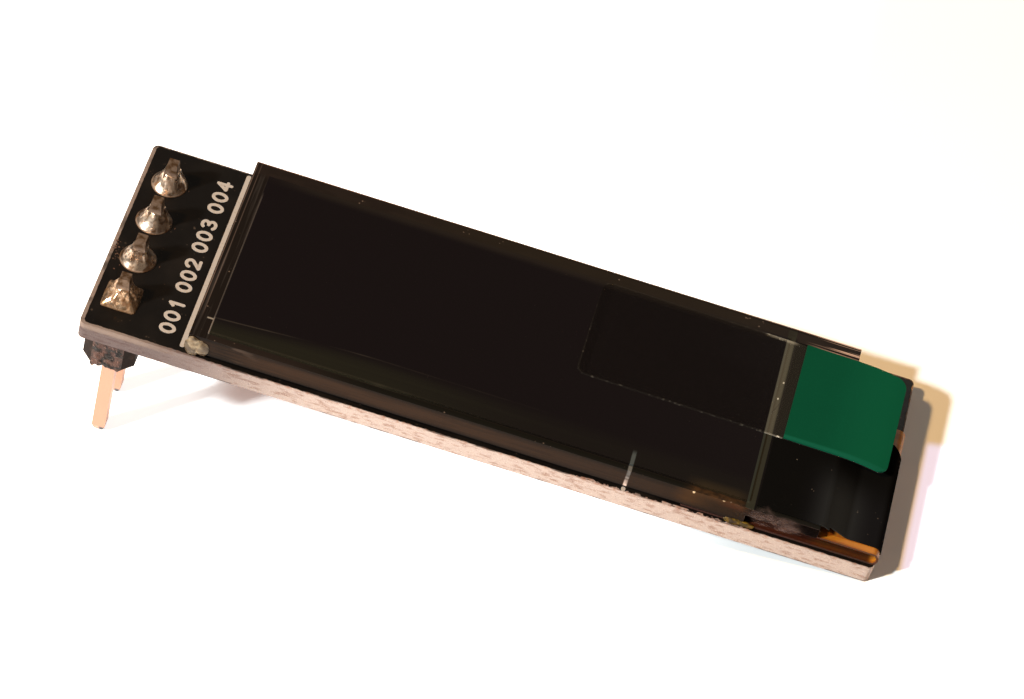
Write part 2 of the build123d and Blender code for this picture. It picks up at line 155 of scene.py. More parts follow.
class GlassSettings(bpy.types.PropertyGroup):
    """Finishes of the glass panel and what lies on it."""

    polarizer: colour_prop("Dark display face", (15, 10, 11))
    seal_glow: colour_prop("Seal through the face", (26, 24, 17))
    # Colour of the painted highlight along the face's near cut edge
    near_edge_highlight: colour_prop("Face's near edge line", (72, 66, 52))
    margin: colour_prop("Glass's margin", (33, 26, 22))
    side: colour_prop("Glass's sides", (46, 31, 21))
    side_dark: colour_prop("Glass's side edges", (13, 9, 7))
    bare: colour_prop("Bare strip of glass", (44, 43, 33))
    # Colour of the painted glow that lifts the shade at the polarizer's end and on the glass beside it
    shadow_fill: colour_prop("Light from the face's edge", (46, 44, 34))
    tape: colour_prop("Black tape", (12, 11, 10))
    tab: colour_prop("Pull tab", (5, 64, 42))
    # Colour of the painted highlight along the film's cut edge, and of its scuffs and specks
    film_edge: colour_prop("Clear film's edge", (190, 184, 170))


class MetalSettings(bpy.types.PropertyGroup):
    """Finishes of the metal, resin and film parts."""

    pin: colour_prop("Pins", (190, 144, 122))
    solder: colour_prop("Solder", (228, 204, 182))
    flux: colour_prop("Burnt flux", (112, 72, 40))
    amber: colour_prop("Amber film", (160, 99, 24))
    adhesive: colour_prop("Cream adhesive", (104, 87, 66))
    ceramic: colour_prop("Capacitors", (140, 92, 58))


class StageSettings(bpy.types.PropertyGroup):
    """The floor, the camera and the lights."""

    floor: colour_prop("Floor", (250, 248, 245))
    lens: number_prop("Lens", "Focal length of the camera", 132.9, "CAMERA", min=1)
    distance: length_prop("Distance", "From the camera to the display's face", 174.66)
    azimuth: angle_prop("Azimuth", "Camera's turn round the board, from its near side", 0.5)
    elevation: angle_prop("Elevation", "Camera's height above the board's plane", 48.46)
    roll: angle_prop("Roll", "Camera's turn about its own line of sight", 16.94)
    key_power: number_prop("Key light", "Power of the main light", 2.4, "POWER", min=0)
    warm_power: number_prop("Warm light", "Power of the warm light above it", 1.2, "POWER", min=0)
    back_power: number_prop("Back light", "Power of the light from behind", 0.1, "POWER", min=0)


def math_method(operation, swapped=False):
    """A method that adds one Math node. Swapped, the other value comes first."""
    def method(self, other=0):
        first, second = (other, self) if swapped else (self, other)
        return self.mat.node("ShaderNodeMath", {"operation": operation}, {0: first, 1: second})
    return method


class Field:
    """A value that varies over a surface. Arithmetic on it adds Math nodes."""

    def __init__(self, mat, socket):
        self.mat = mat
        self.socket = socket

    __add__ = __radd__ = math_method("ADD")
    __sub__ = math_method("SUBTRACT")
    __rsub__ = math_method("SUBTRACT", swapped=True)
    __mul__ = __rmul__ = math_method("MULTIPLY")
    __pow__ = math_method("POWER")
    __abs__ = math_method("ABSOLUTE")
    root = math_method("SQRT")
    least = math_method("MINIMUM")
    most = math_method("MAXIMUM")
    pingpong = math_method("PINGPONG")

    def rise(self, start, end):
        """From 0 at start to 1 at end, with soft ends."""
        settings = {"interpolation_type": "SMOOTHSTEP"}
        return self.mat.node("ShaderNodeMapRange", settings, {0: self, 1: start, 2: end})

    def fall(self, start, end):
        """From 1 at start to 0 at end, with soft ends."""
        return 1 - self.rise(start, end)

    def within(self, low, high, soft):
        """1 between two values and 0 outside them, with soft ends."""
        return self.rise(low - soft, low + soft) * self.fall(high - soft, high + soft)

    def near(self, middle, half, soft):
        """1 up to half a width from a middle value and 0 beyond."""
        return self.within(middle - half, middle + half, soft)


def distance(across, along):
    """How far a point lies from where both fields are zero."""
    return (across ** 2 + along ** 2).root()


def rounded_edge(across, along, half_across, half_along, corner):
    """Distance from a rounded rectangle's edge, below zero inside it."""
    across = abs(across) - (half_across - corner)
    along = abs(along) - (half_along - corner)
    return distance(across.most(0), along.most(0)) + across.most(along).least(0) - corner


MIX_FACTOR, MIX_FIRST, MIX_SECOND, MIX_RESULT = 0, 6, 7, 2
BLACK = (0, 0, 0)


class Finish:
    """A procedural material on the board's own axes, in millimetres."""

    def __init__(self, name, gloss=0.5, **constants):
        self.material = bpy.data.materials.new(name)
        self.material.use_nodes = True
        self.tree = self.material.node_tree
        self.tree.nodes.clear()
        self.surface = self.tree.nodes.new("ShaderNodeBsdfPrincipled")
        output = self.tree.nodes.new("ShaderNodeOutputMaterial")
        self.tree.links.new(self.surface.outputs[0], output.inputs["Surface"])
        self.set(specular_ior_level=gloss, **constants)
        own_place = self.node("ShaderNodeTexCoord", output="Object")
        self.place = self.node(
            "ShaderNodeMapping",
            {"vector_type": "TEXTURE"},
            {"Vector": own_place, "Location": ORIGIN, "Rotation": (0, LEAN, 0), "Scale": (MM, MM, MM)},
        )
        split = self.node("ShaderNodeSeparateXYZ", inputs={0: self.place})
        self.axes = [Field(self, socket) for socket in split.socket.node.outputs]
        self.x, self.y, self.z = self.axes

    def node(self, kind, settings=None, inputs=None, output=0):
        """Any node: its settings first, then the values or links of its sockets."""
        node = self.tree.nodes.new(kind)
        for name, value in (settings or {}).items():
            setattr(node, name, value)
        for name, value in (inputs or {}).items():
            self.feed(node.inputs[name], value)
        return Field(self, node.outputs[output])

    def feed(self, socket, value):
        """Link a field or set a constant. A tuple is a colour read off a screen."""
        if isinstance(value, Field):
            self.tree.links.new(value.socket, socket)
        elif socket.type == "RGBA":
            socket.default_value = (*(srgb(*value) if isinstance(value, tuple) else value), 1)
        else:
            socket.default_value = value

    def set(self, **values):
        """Set or link the surface's own sockets."""
        for name, value in values.items():
            title = name.replace("_", " ").title().replace("Ior", "IOR")
            self.feed(self.surface.inputs[title], value)
        return self

    def glow(self, colour):
        """Light that the surface gives off by itself."""
        return self.set(emission_strength=1, emission_color=colour)

    def mix(self, first, second, factor):
        """A colour between two others."""
        inputs = {MIX_FACTOR: factor, MIX_FIRST: first, MIX_SECOND: second}
        return self.node("ShaderNodeMix", {"data_type": "RGBA"}, inputs, MIX_RESULT)

    def coats(self, tone, *coats):
        """A colour with others over it in turn, each with how much of it shows."""
        for colour, factor in coats:
            tone = self.mix(tone, colour, factor)
        return tone

    def texture(self, kind, size, stretch, shift, inputs, output):
        """A texture of about this size, longer where stretch is more."""
        scale = tuple(1 / (size * share) for share in stretch)
        mapping = {"Vector": self.place, "Location": (shift, shift, shift), "Scale": scale}
        vector = self.node("ShaderNodeMapping", inputs=mapping)
        return self.node(kind, inputs={"Vector": vector, "Scale": 1, **inputs}, output=output)

    def grain(self, size, stretch=(1, 1, 1), detail=3, shift=0):
        """Cloudy noise from about 0.3 to 0.7."""
        return self.texture("ShaderNodeTexNoise", size, stretch, shift, {"Detail": detail}, 0)

    def specks(self, size, share, shift=0):
        """Scattered small specks, in a share of the cells."""
        near = self.texture("ShaderNodeTexVoronoi", size, (1, 1, 1), shift, {}, "Distance").fall(0.12, 0.25)
        return near * self.grain(3.1 * size, detail=0, shift=shift + 5).rise(1 - share, 1.02 - share)

    def relief(self, tone, roughness, height, depth, strength=0.5, **others):
        """Colour the surface, and raise it by depth where height is 1."""
        inputs = {"Strength": strength, "Distance": depth * MM, "Height": height}
        bump = self.node("ShaderNodeBump", inputs=inputs)
        return self.set(base_color=tone, roughness=roughness, normal=bump, **others)

    def spot(self, along, across, radius):
        """A soft round spot seen from above."""
        return distance(self.x - along, self.y - across).fall(radius * 0.6, radius)


def dress(mat, *nodes):
    """Give CAD nodes a finish, in their own material slots."""
    for name in nodes:
        mesh = frame["nodes"][name].data
        if not mesh.materials:
            mesh.materials.append(None)
        for index in range(len(mesh.materials)):
            mesh.materials[index] = mat.material


def add_piece(name, shape, mat, smooth=False):
    """A new piece that rides on the module, from a bmesh on the board's axes."""
    bmesh.ops.recalc_face_normals(shape, faces=shape.faces)
    shape.transform(BOARD)
    piece = place_mesh(name, shape, mat)
    for polygon in piece.data.polygons:
        polygon.use_smooth = smooth
    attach(piece, BODY)
    return piece


def place(name, data, pose=Matrix()):
    """An object in the scene, moved and turned by a matrix."""
    placed = bpy.data.objects.new(name, data)
    bpy.context.scene.collection.objects.link(placed)
    placed.matrix_world = pose
    return placed


def place_mesh(name, shape, mat):
    """An object of one material, from a bmesh that it uses up."""
    mesh = bpy.data.meshes.new(name)
    shape.to_mesh(mesh)
    shape.free()
    mesh.materials.append(mat.material)
    return place(name, mesh)


def bridge(shape, rows, closed=False):
    """Faces between neighbouring rows of vertices, or closed rings of them."""
    for one, two in zip(rows, rows[1:]):
        for index in range(len(one) if closed else len(one) - 1):
            after = (index + 1) % len(one)
            shape.faces.new((one[index], one[after], two[after], two[index]))


def extrude(shape, faces):
    """Give faces a second side and walls, and return that side's vertices."""
    made = bmesh.ops.extrude_face_region(shape, geom=faces)
    return [item for item in made["geom"] if isinstance(item, bmesh.types.BMVert)]


def ribbon(shape, path, width, bottom, top):
    """A flat printed stroke along a path of points, with round ends."""
    cap_steps = 8
    points = [Vector(point) for point in path]
    closed = (points[0] - points[-1]).length < width / 10
    if closed:
        points.pop()
    count = len(points)
    pairs = []
    for index, point in enumerate(points):
        before = points[(index - 1) % count] if closed or index else point
        after = points[(index + 1) % count] if closed or index < count - 1 else point
        ahead = (after - before).normalized()
        side = Vector((-ahead.y, ahead.x)) * width / 2
        pairs.append([shape.verts.new((*(point + share * side), top)) for share in (1, -1)])
    faces = []
    for index in range(count if closed else count - 1):
        near, far = pairs[index], pairs[(index + 1) % count]
        faces.append(shape.faces.new((near[0], near[1], far[1], far[0])))
    if not closed:
        for index, other in ((0, 1), (-1, -2)):
            start, last = pairs[index]
            outward = ((points[index] - points[other]).normalized() * width / 2).to_3d()
            middle, side = (start.co + last.co) / 2, (start.co - last.co) / 2
            turns = [pi * step / cap_steps for step in range(1, cap_steps)]
            arc = [shape.verts.new(middle + side * cos(turn) + outward * sin(turn)) for turn in turns]
            faces.append(shape.faces.new((start, *arc, last)))
    for vertex in extrude(shape, faces):
        vertex.co.z = bottom


def arc_points(centre, radii, start, end, steps=14):
    """Points along part of an ellipse, between two angles in degrees."""
    turns = [radians(start + (end - start) * step / steps) for step in range(steps + 1)]
    return [(centre[0] + radii[0] * cos(turn), centre[1] + radii[1] * sin(turn)) for turn in turns]


# The strokes of each number, on a square one unit high and one unit wide
NUMBER_STROKES = {
    "0": [arc_points((0.5, 0.5), (0.5, 0.5), 0, 360, 32)],
    "1": [[(0.22, 0.74), (0.56, 1)], [(0.56, 1), (0.56, 0)]],
    "2": [arc_points((0.5, 0.7), (0.48, 0.3), 170, -30) + [(0.03, 0)], [(0.03, 0), (1, 0)]],
    "3": [arc_points((0.48, 0.76), (0.44, 0.24), 150, -90), arc_points((0.48, 0.26), (0.5, 0.26), 90, -150)],
    "4": [[(0.72, 1), (0, 0.3)], [(0, 0.3), (1, 0.3)], [(0.72, 1), (0.72, 0)]],
}
LABELS = ("001", "002", "003", "004")
LABEL_PLACES = (-4, -1.35, 1.3, 3.95)
LABEL_BASE = 4.27
LINE_PLACE = 4.8
LINE_ENDS = (-5.5, 5.72)
TICK_PLACE = 26
TICK_HALF = 0.09
# Two specks on the film
FILM_SPECKS = ((31.82, 1.96), (31.74, 0.9))
TICK_ENDS = (BOARD_START.y + 0.12, BOARD_START.y + 0.18)
TICK_WIDTH = 0.2
# The lumps of each dab: centre, half sizes and a number that shapes them
PALE_LUMPS = (
    ((GLASS_START.x + 0.28, GLASS_START.y, 0.62), (0.4, 0.13, 0.62), 1),
    ((GLASS_START.x + 0.68, GLASS_START.y, 0.62), (0.38, 0.12, 0.46), 2),
)
AMBER_LUMPS = (
    ((REAR_END.x - 0.4, GLASS_START.y + 0.01, 0.14), (0.5, 0.09, 0.2), 4),
    ((REAR_END.x + 0.15, GLASS_START.y + 0.01, 0.14), (0.4, 0.09, 0.18), 5),
)
CAMERA_TARGET = (19.25, -1.07, 1.5)
# Each light's azimuth, elevation, size and tint
LIGHTS = {
    "key": (-49, 43, 0.03, (0.86, 0.95, 1)),
    "warm": (-47, 58, 0.03, (1, 0.62, 0.25)),
    "back": (157, 35, 0.05, (1, 0.9, 0.8)),
}
LIGHT_DISTANCE = 0.4
ROOM_TINT, ROOM_STRENGTH = (1, 0.84, 0.68), 0.15
FLOOR_REACH = 1.5


def board_finish():
    """Black solder mask over pale laminate, which shows where it is cut or worn."""
    look = bpy.context.scene.board_settings
    mat = Finish("solder_mask_board", gloss=0.2)
    x, y, z = mat.axes
    thickness = BOARD_END.z - BOARD_START.z
    ragged = mat.grain(0.3, detail=5)
    fine = mat.grain(0.06, shift=3)
    side = (z - 0.05 * ragged).within(-thickness + 0.02, -0.05, 0.012)
    edge = rounded_edge(x - BOARD_END.x / 2, y, BOARD_END.x / 2, BOARD_END.y, 0.3)
    near = y.rise(-BOARD_END.y + 0.3, -BOARD_END.y + 0.2)
    chipped = x.fall(3, 8) * near
    torn = x.within(24, 31.6, 0.6) * near * ragged.rise(0.46, 0.56)
    wear = edge + 0.14 * ragged + 0.09 * chipped + 0.14 * x.fall(0.15, 0.3) + 0.1 * torn
    whole = mat.grain(1.4, detail=2, shift=11).rise(0.38, 0.5).most(chipped)
    exposed = side.most(wear.rise(0, 0.03) * (0.3 + 0.7 * whole))
    top = mat.coats(
        look.mask,
        ((40, 33, 27), mat.grain(2.4, detail=2).rise(0.45, 0.8) * 0.3),
        ((120, 100, 84), mat.specks(0.3, 0.3) * 0.25 + mat.specks(0.16, 0.3, 9) * 0.2),
    )
    plies = mat.grain(0.2, (2.4, 2.4, 0.7), 5)
    fibre = mat.coats(
        look.laminate,
        ((136, 104, 90), plies.rise(0.46, 0.7) * 0.75),
        ((224, 206, 192), fine.rise(0.52, 0.72) * 0.6),
        ((110, 78, 64), mat.specks(0.12, 0.46, 4) * 0.6),
        ((150, 104, 84), z.rise(-0.16, -0.05) * ragged.rise(0.45, 0.7) * 0.7),
        ((60, 48, 52), x.fall(3, 13) * 0.82),
        ((158, 138, 122), z.rise(-0.4, -0.2) * x.fall(2, 6) * 0.4),
    )
    height = exposed * (0.5 * plies + 0.5 * fine) + (1 - exposed) * 0.06 * fine
    rough = 0.3 + 0.5 * exposed + 0.12 * ragged
    return mat.relief(mat.mix(top, fibre, exposed), rough, height, 0.05, 0.7)


def print_finish():
    """White printing ink, slightly worn and thin in places."""
    look = bpy.context.scene.board_settings
    mat = Finish("printing_ink", gloss=0.2)
    worn = mat.grain(0.14, detail=4).rise(0.52, 0.72)
    return mat.relief(mat.mix(look.print_colour, (150, 134, 118), worn * 0.6), 0.6, mat.grain(0.06), 0.006)


def spacer_finish():
    """Black moulded plastic, a little dusty."""
    mat = Finish("black_moulding", gloss=0.12, ior=1.2)
    cloud = mat.grain(0.5, detail=4)
    tone = mat.mix((32, 24, 21), (62, 49, 44), cloud.rise(0.5, 0.8) * 0.7)
    return mat.relief(tone, 0.42 + 0.2 * cloud, mat.grain(0.09, detail=4), 0.012)


def fracture_finish():
    """The rough face where the spacer was snapped off."""
    mat = Finish("snapped_moulding", gloss=0.3)
    crumbs = mat.grain(0.34, detail=5)
    tone = mat.coats(
        (20, 13, 11),
        ((82, 57, 49), crumbs.rise(0.42, 0.62)),
        ((132, 100, 88), mat.grain(0.16, shift=3).rise(0.6, 0.7) * 0.6),
    )
    return mat.relief(tone, 0.4 + 0.4 * crumbs, mat.grain(0.07, detail=5), 0.05, 0.9)


def pin_finish():
    """Pale gold flash over square wire, duller and browner where it was tinned."""
    look = bpy.context.scene.metal_settings
    mat = Finish("gold_flashed_wire")
    x, z = mat.x, mat.z
    drawn = mat.grain(0.25, (0.5, 0.5, 6), 4)
    tinned = z.rise(0.2, 0.6)
    smudge = mat.grain(0.3, detail=4, shift=2).rise(0.42, 0.64)
    worn = z.rise(0.85, 1.2) * (0.6 + 0.4 * smudge)
    # Painted shade: darker grey-blue at the lower corner of each pin's tip, where it rests on the floor
    tip_shade = z.fall(PIN_START.z + 0.26, PIN_START.z + 0.4) * x.rise(PIN_END.x - 0.34, PIN_END.x - 0.22)
    tone = mat.coats(
        look.pin,
        ((170, 148, 132), tinned),
        ((88, 64, 42), worn.most(smudge * tinned * 0.5)),
        ((52, 50, 58), tip_shade),
    )
    rough = 0.32 + 0.2 * drawn + 0.15 * tinned
    return mat.relief(tone, rough, drawn + mat.grain(0.12), 0.012, metallic=0.6 + 0.2 * tinned)


def solder_finish():
    """Bright solder with dull patches, burnt flux and a tan ring of pad at its foot."""
    look = bpy.context.scene.metal_settings
    mat = Finish("warm_solder")
    patches = mat.grain(0.5)
    crust = mat.z.fall(0.03, 0.1)
    first = mat.y.fall(-3, -2.8)
    burnt = mat.grain(0.42, detail=4, shift=7).rise(0.54, 0.66)
    burnt = burnt.most(first * mat.grain(0.2, shift=9).rise(0.5, 0.62))
    tone = mat.coats(
        look.solder,
        ((146, 116, 92), patches.rise(0.5, 0.62)),
        ((214, 166, 112), first * 0.45),
        (look.flux, (burnt * 0.8).most(crust * 0.8)),
    )
    lumps = mat.grain(0.45, detail=2, shift=2) + first * mat.grain(0.16, detail=4)
    return mat.relief(tone, 0.16 + 0.3 * patches, lumps, 0.06, metallic=1 - 0.6 * burnt.most(crust))


def polarizer_finish():
    """The near-black display face, with an olive rim, painted highlights along its cut edges and a painted
    glow on its end face.
    """
    look = bpy.context.scene.glass_settings
    mat = Finish("dark_polarizing_film", gloss=0.2, roughness=0.12)
    x, y = mat.x, mat.y
    left, near = x - POLARIZER_START.x, y - POLARIZER_START.y
    cloud = mat.grain(1.2, (4, 1, 1))
    threads = mat.grain(0.16, (60, 1, 1), 2, 3)
    leftward = left.fall(4, 18)
    inward = near - 0.88 - 0.55 * left.rise(-2, 8)
    rim = inward.fall(-0.8, 0.15) * (0.3 + 0.7 * leftward) * (0.6 + 0.8 * threads)
    # Painted highlights where light catches the film's near cut edge and its end
    near_edge_highlight = near.fall(0.05, 0.11) * left.fall(4.5, 13.5) * (0.12 + 0.8 * cloud.rise(0.5, 0.66))
    end_highlight = left.fall(0.03, 0.08) * y.fall(3.2, 3.8) * (0.1 + 0.3 * cloud + 0.5 * y.fall(-4.7, -4.5))
    far_glow = y.rise(POLARIZER_END.y - 0.55, POLARIZER_END.y) * x.rise(5, 9) * x.fall(29, 33)
    amber = x.within(29, 31.4, 0.6) * near.fall(0, 0.6)
    tone = mat.coats(
        look.polarizer,
        (look.seal_glow, rim),
        ((66, 58, 50), inward.near(0, 0.03, 0.03) * leftward * cloud.rise(0.4, 0.6) * 0.4),
        (look.near_edge_highlight, near_edge_highlight),
        ((120, 108, 98), end_highlight),
        ((34, 28, 22), far_glow * (0.3 + 0.7 * cloud)),
        ((58, 46, 28), amber * (0.2 + 0.8 * cloud) * 0.8),
        ((76, 80, 78), x.near(TICK_PLACE, TICK_HALF, 0.03) * near.fall(0.5, 0.9) * 0.7),
        ((150, 130, 112), mat.specks(0.22, 0.16, 2) * 0.1 + mat.specks(0.1, 0.2, 8) * 0.05),
    )
    # Painted light: the end face glows, which lifts the shade on it
    end_face = x.rise(BARE_START - 0.003, BARE_START - 0.001)
    return mat.set(base_color=tone).glow(mat.mix(BLACK, look.shadow_fill, end_face * 0.8))


def glass_finish():
    """Dark sheet glass with streaked brown sides, a dusty margin and a bare strip, which glows as painted
    light where the polarizer's shadow falls on it.
    """
    look = bpy.context.scene.glass_settings
    mat = Finish("dark_sheet_glass", gloss=0.3, ior=1.15)
    x, y, z = mat.axes
    start, far = x - GLASS_START.x, y - GLASS_END.y
    upper = z.rise(GLASS_END.z - 0.02, GLASS_END.z - 0.01)
    streaks = mat.grain(0.14, (1, 30, 1), 3, 2)
    left = x.fall(POLARIZER_START.x, POLARIZER_START.x + 0.2) * y.fall(4.6, 5.1)
    near = y.fall(POLARIZER_START.y - 0.05, POLARIZER_START.y + 0.02)
    start_lines = start.within(0.03, 0.08, 0.02).most(start.within(0.24, 0.28, 0.02) * 0.5)
    corner_tick = y.within(-4.62, -4.54, 0.03) * x.within(5.55, POLARIZER_START.x, 0.03)
    amber = x.within(28.9, 31.4, 0.5) * near * mat.grain(0.4, detail=2).rise(0.2, 0.8)
    bare = x.within(BARE_START, BARE_END, 0.02)
    scratch = (x - BARE_START - 0.1 - 0.34 * y).near(0, 0.025, 0.02) * y.within(0, 0.8, 0.1)
    far_cloud = far.rise(-0.9, -0.8) * mat.grain(0.5, (2, 1, 1), 4, 6).rise(0.35, 0.65)
    far_line = far.rise(-0.06, -0.03) * (0.2 + 0.9 * mat.grain(0.5))
    far_corner = far.rise(-0.8, -0.72) * x.rise(BARE_START + 0.8, GLASS_END.x - 0.8)
    threads = mat.grain(0.13, (70, 1, 1), 2, 8).rise(0.48, 0.56)
    top = mat.coats(
        look.margin,
        ((24, 19, 16), left),
        ((58, 52, 48), streaks.rise(0.5, 0.7) * left * 0.45),
        ((20, 18, 14), near * x.rise(9, 14)),
        ((128, 106, 94), start_lines * y.rise(-5, -3.5) * streaks),
        ((150, 138, 124), corner_tick * 0.7),
        ((78, 52, 30), amber * 0.8),
        ((104, 100, 95), x.near(TICK_PLACE, TICK_HALF, 0.03) * near * 0.8),
        (look.bare, bare * (0.8 + 0.2 * y.rise(-4, 4.5))),
        ((13, 10, 9), x.within(BARE_END, SHIELD_START.x, 0.02) * y.fall(4.9, 5.1)),
        ((20, 17, 14), bare * scratch),
        ((26, 20, 17), far_cloud * 0.55),
        ((14, 10, 9), far.within(-0.17, -0.05, 0.02) * x.rise(12, 24) * 0.9),
        ((150, 114, 96), far_line),
        ((34, 28, 20), y.rise(3.9, GLASS_END.y - 0.2) * x.within(14, 31, 4) * 0.6),
        ((196, 160, 138), far_corner * threads * 0.85),
        ((140, 118, 102), mat.specks(0.2, 0.3, 1) * 0.4),
    )
    # Painted light: the strip of glass beside the polarizer's end glows where the polarizer's shadow falls
    # on it
    shadow_fill = x.within(BARE_START, BARE_START + 0.12, 0.02) * upper
    shadow_fill = shadow_fill * y.within(POLARIZER_START.y, POLARIZER_END.y, 0.05)
    mat.glow(mat.mix(BLACK, look.shadow_fill, shadow_fill))
    tone = mat.mix(glass_side(mat, look), top, upper)
    return mat.relief(tone, 0.25, mat.grain(0.3, (9, 1, 0.22)) * (1 - upper), 0.02, 0.08)


def glass_side(mat, look):
    """The glass's cut sides: dark edges, a warm hump between, an amber stretch, and painted shade with lint
    fibres where the glass overhangs the ledge.
    """
    x, y, z = mat.axes
    streaks = mat.grain(0.3, (8, 1, 0.3), 4)
    cloud = mat.grain(0.7, (3, 1, 0.6), 3, 4)
    hump = z.rise(REAR_START.z - 0.1, 0.62) * (1 - 0.8 * z.rise(0.95, GLASS_END.z))
    start = x.fall(GLASS_START.x + 1.2, GLASS_START.x + 4.2)
    front = y.fall(GLASS_START.y + 0.02, GLASS_START.y + 0.4)
    amber = x.within(28.6, 31.7, 0.6) * z.rise(0.2, 0.7)
    rust = x.within(30.3, 31.5, 0.3) * z.within(0.95, 1.4, 0.1)
    glint = distance(1.7 * (x - 29.08), z - 1.3).fall(0.05, 0.14)
    glint = glint.most(distance(x - 30.5, z - 1.32).fall(0.03, 0.08) * 0.7)
    ledge_shade = x.rise(REAR_END.x - 0.3, REAR_END.x + 0.3)
    fibres = mat.grain(0.35, (1.5, 1, 1), 2, 12).rise(0.3, 0.7) * x.fall(33, 34.8)
    beads = mat.grain(0.16, (9, 9, 1), 0, 6).rise(0.36, 0.56)
    return mat.coats(
        look.side_dark,
        (look.side, hump * (0.85 + 0.5 * cloud)),
        ((30, 22, 17), x.rise(16, 27) * 0.45),
        ((16, 11, 9), streaks.rise(0.5, 0.62) * (0.25 + 0.6 * start)),
        ((17, 13, 10), start * 0.45),
        ((84, 68, 58), cloud.rise(0.58, 0.7) * start * 0.6),
        ((74, 48, 24), amber * front * (0.3 + cloud)),
        ((88, 44, 24), rust * front * cloud.rise(0.35, 0.6) * 0.7),
        ((230, 200, 160), glint * front),
        ((22, 15, 11), x.rise(27.6, 30.4) * z.fall(0.8, 1.7) * 0.85),
        # Painted shade where the glass overhangs the ledge, with lint fibres over it
        (mat.mix((13, 9, 7), (50, 38, 35), fibres), ledge_shade * 0.9),
        (
            mat.mix((214, 190, 178), (96, 92, 90), z.rise(0.3, 1)),
            x.near(TICK_PLACE, TICK_HALF - 0.01, 0.03) * front * (0.35 + 0.65 * beads),
        ),
    )


def plain_finish(name, tone, dark, size, roughness, depth=0.01, **constants):
    """An even material with a cloudy second tone and a fine grain."""
    mat = Finish(name, **constants)
    cloud = mat.grain(size, detail=4)
    tone = mat.mix(tone, dark, cloud.rise(0.4, 0.75))
    return mat.relief(tone, roughness + 0.15 * cloud, mat.grain(size / 4), depth)


def shield_finish():
    """Black satin tape with a painted sheen where it bends down, painted light over its right part, and
    specks of dust.
    """
    look = bpy.context.scene.glass_settings
    mat = Finish("black_satin_tape", gloss=0.3, ior=1)
    cloud = mat.grain(1.1)
    weave = mat.grain(0.05, detail=2)
    low = mat.y.rise(-1.4, -4)
    bend = mat.x - GLASS_END.x
    tone = mat.coats(
        look.tape,
        ((18, 16, 13), cloud.rise(0.5, 0.9) * 0.3 + weave.rise(0.4, 0.7) * 0.2),
        # Painted light over the tape's right part, and a painted sheen where it bends down past the glass's
        # end, both on its near side
        ((20, 19, 20), bend.rise(-1.6, 0.4) * low),
        ((56, 57, 56), bend.within(0.1, 1.3, 1.1) * low * 0.55),
        ((140, 126, 112), mat.specks(0.16, 0.26, 4) * 0.35),
    )
    return mat.relief(tone, 0.5 + 0.12 * cloud, weave, 0.006)


def film_finish():
    """Clear film, all but unseen, with a broken painted highlight along its cut edge."""
    look = bpy.context.scene.glass_settings
    mat = Finish("clear_cover_film", gloss=0.05, roughness=0.3)
    x, y = mat.x, mat.y
    points = node_points("clear_film", TO_BOARD)
    low, high = extremes(points)
    start, end = low.x, high.x
    middles = []
    for limit in (start, end):
        across = [point.y for point in points if abs(point.x - limit) < 1]
        middles.append((min(across) + max(across)) / 2)
    slope = (middles[1] - middles[0]) / (end - start)
    half = high.y - middles[0]
    middle = y - (x - start) * slope - middles[0]
    near = middle + half
    inset = rounded_edge(x - (start + end) / 2, middle, (end - start) / 2, half, 0.5)
    # A faint painted highlight along the whole cut edge
    edge = inset.rise(-0.1, -0.05) * (1 - 0.6 * middle.rise(half - 0.7, half - 0.1))
    beads = mat.grain(0.2).rise(0.56, 0.7)
    over_tape = x.rise(BARE_END - 0.1, BARE_END - 0.02)
    over_bare = x.rise(BARE_START - 0.03, BARE_START + 0.03)
    clear = x.fall(TAB_START.x - 0.1, TAB_START.x)
    dots = mat.spot(TAB_START.x - 0.25, -1.38, 0.09)
    for speck in FILM_SPECKS:
        dots = dots.most(mat.spot(*speck, 0.05) * 0.6)
    scuffs = x.within(BARE_START - 0.9, TAB_START.x - 0.5, 0.3) * (half - middle).fall(0.06, 0.2)
    scuffs = scuffs * (0.25 + 0.75 * beads)
    veil = 0.002 + 0.04 * over_bare - 0.031 * over_tape
    # A brighter painted highlight along the near cut edge, where it crosses the bare strip
    near_highlight = near.fall(0.02, 0.07) * over_bare * clear
    shown = veil + clear * edge * (0.008 + 0.08 * beads) + 0.16 * near_highlight + dots + 0.7 * scuffs
    pale = near.fall(0.04, 0.09).most(scuffs).most(dots)
    return mat.set(base_color=mat.mix((196, 184, 160), look.film_edge, pale), alpha=shown.least(1))


def tab_finish():
    """Deep green film, a little lighter along its cut edge, and lighter towards its right end as painted
    light.
    """
    look = bpy.context.scene.glass_settings
    mat = Finish("green_film", gloss=0.03)
    grain = mat.grain(0.07)
    cloud = mat.grain(1.6, detail=2)
    tone = mat.coats(
        look.tab,
        ((4, 60, 40), cloud.rise(0.35, 0.75) * 0.25),
        ((16, 92, 62), grain.rise(0.5, 0.8) * 0.15),
        # Painted light: lighter towards the drooping right end, where the film turns away from the lights
        ((10, 84, 56), mat.x.rise(TAB_START.x + 1.5, TAB_END.x) * 0.8),
        ((20, 92, 70), mat.y.fall(TAB_START.y + 0.2, TAB_START.y + 0.32) * 0.5),
    )
    return mat.relief(tone, 0.45 + 0.1 * grain, grain, 0.004, 0.4)


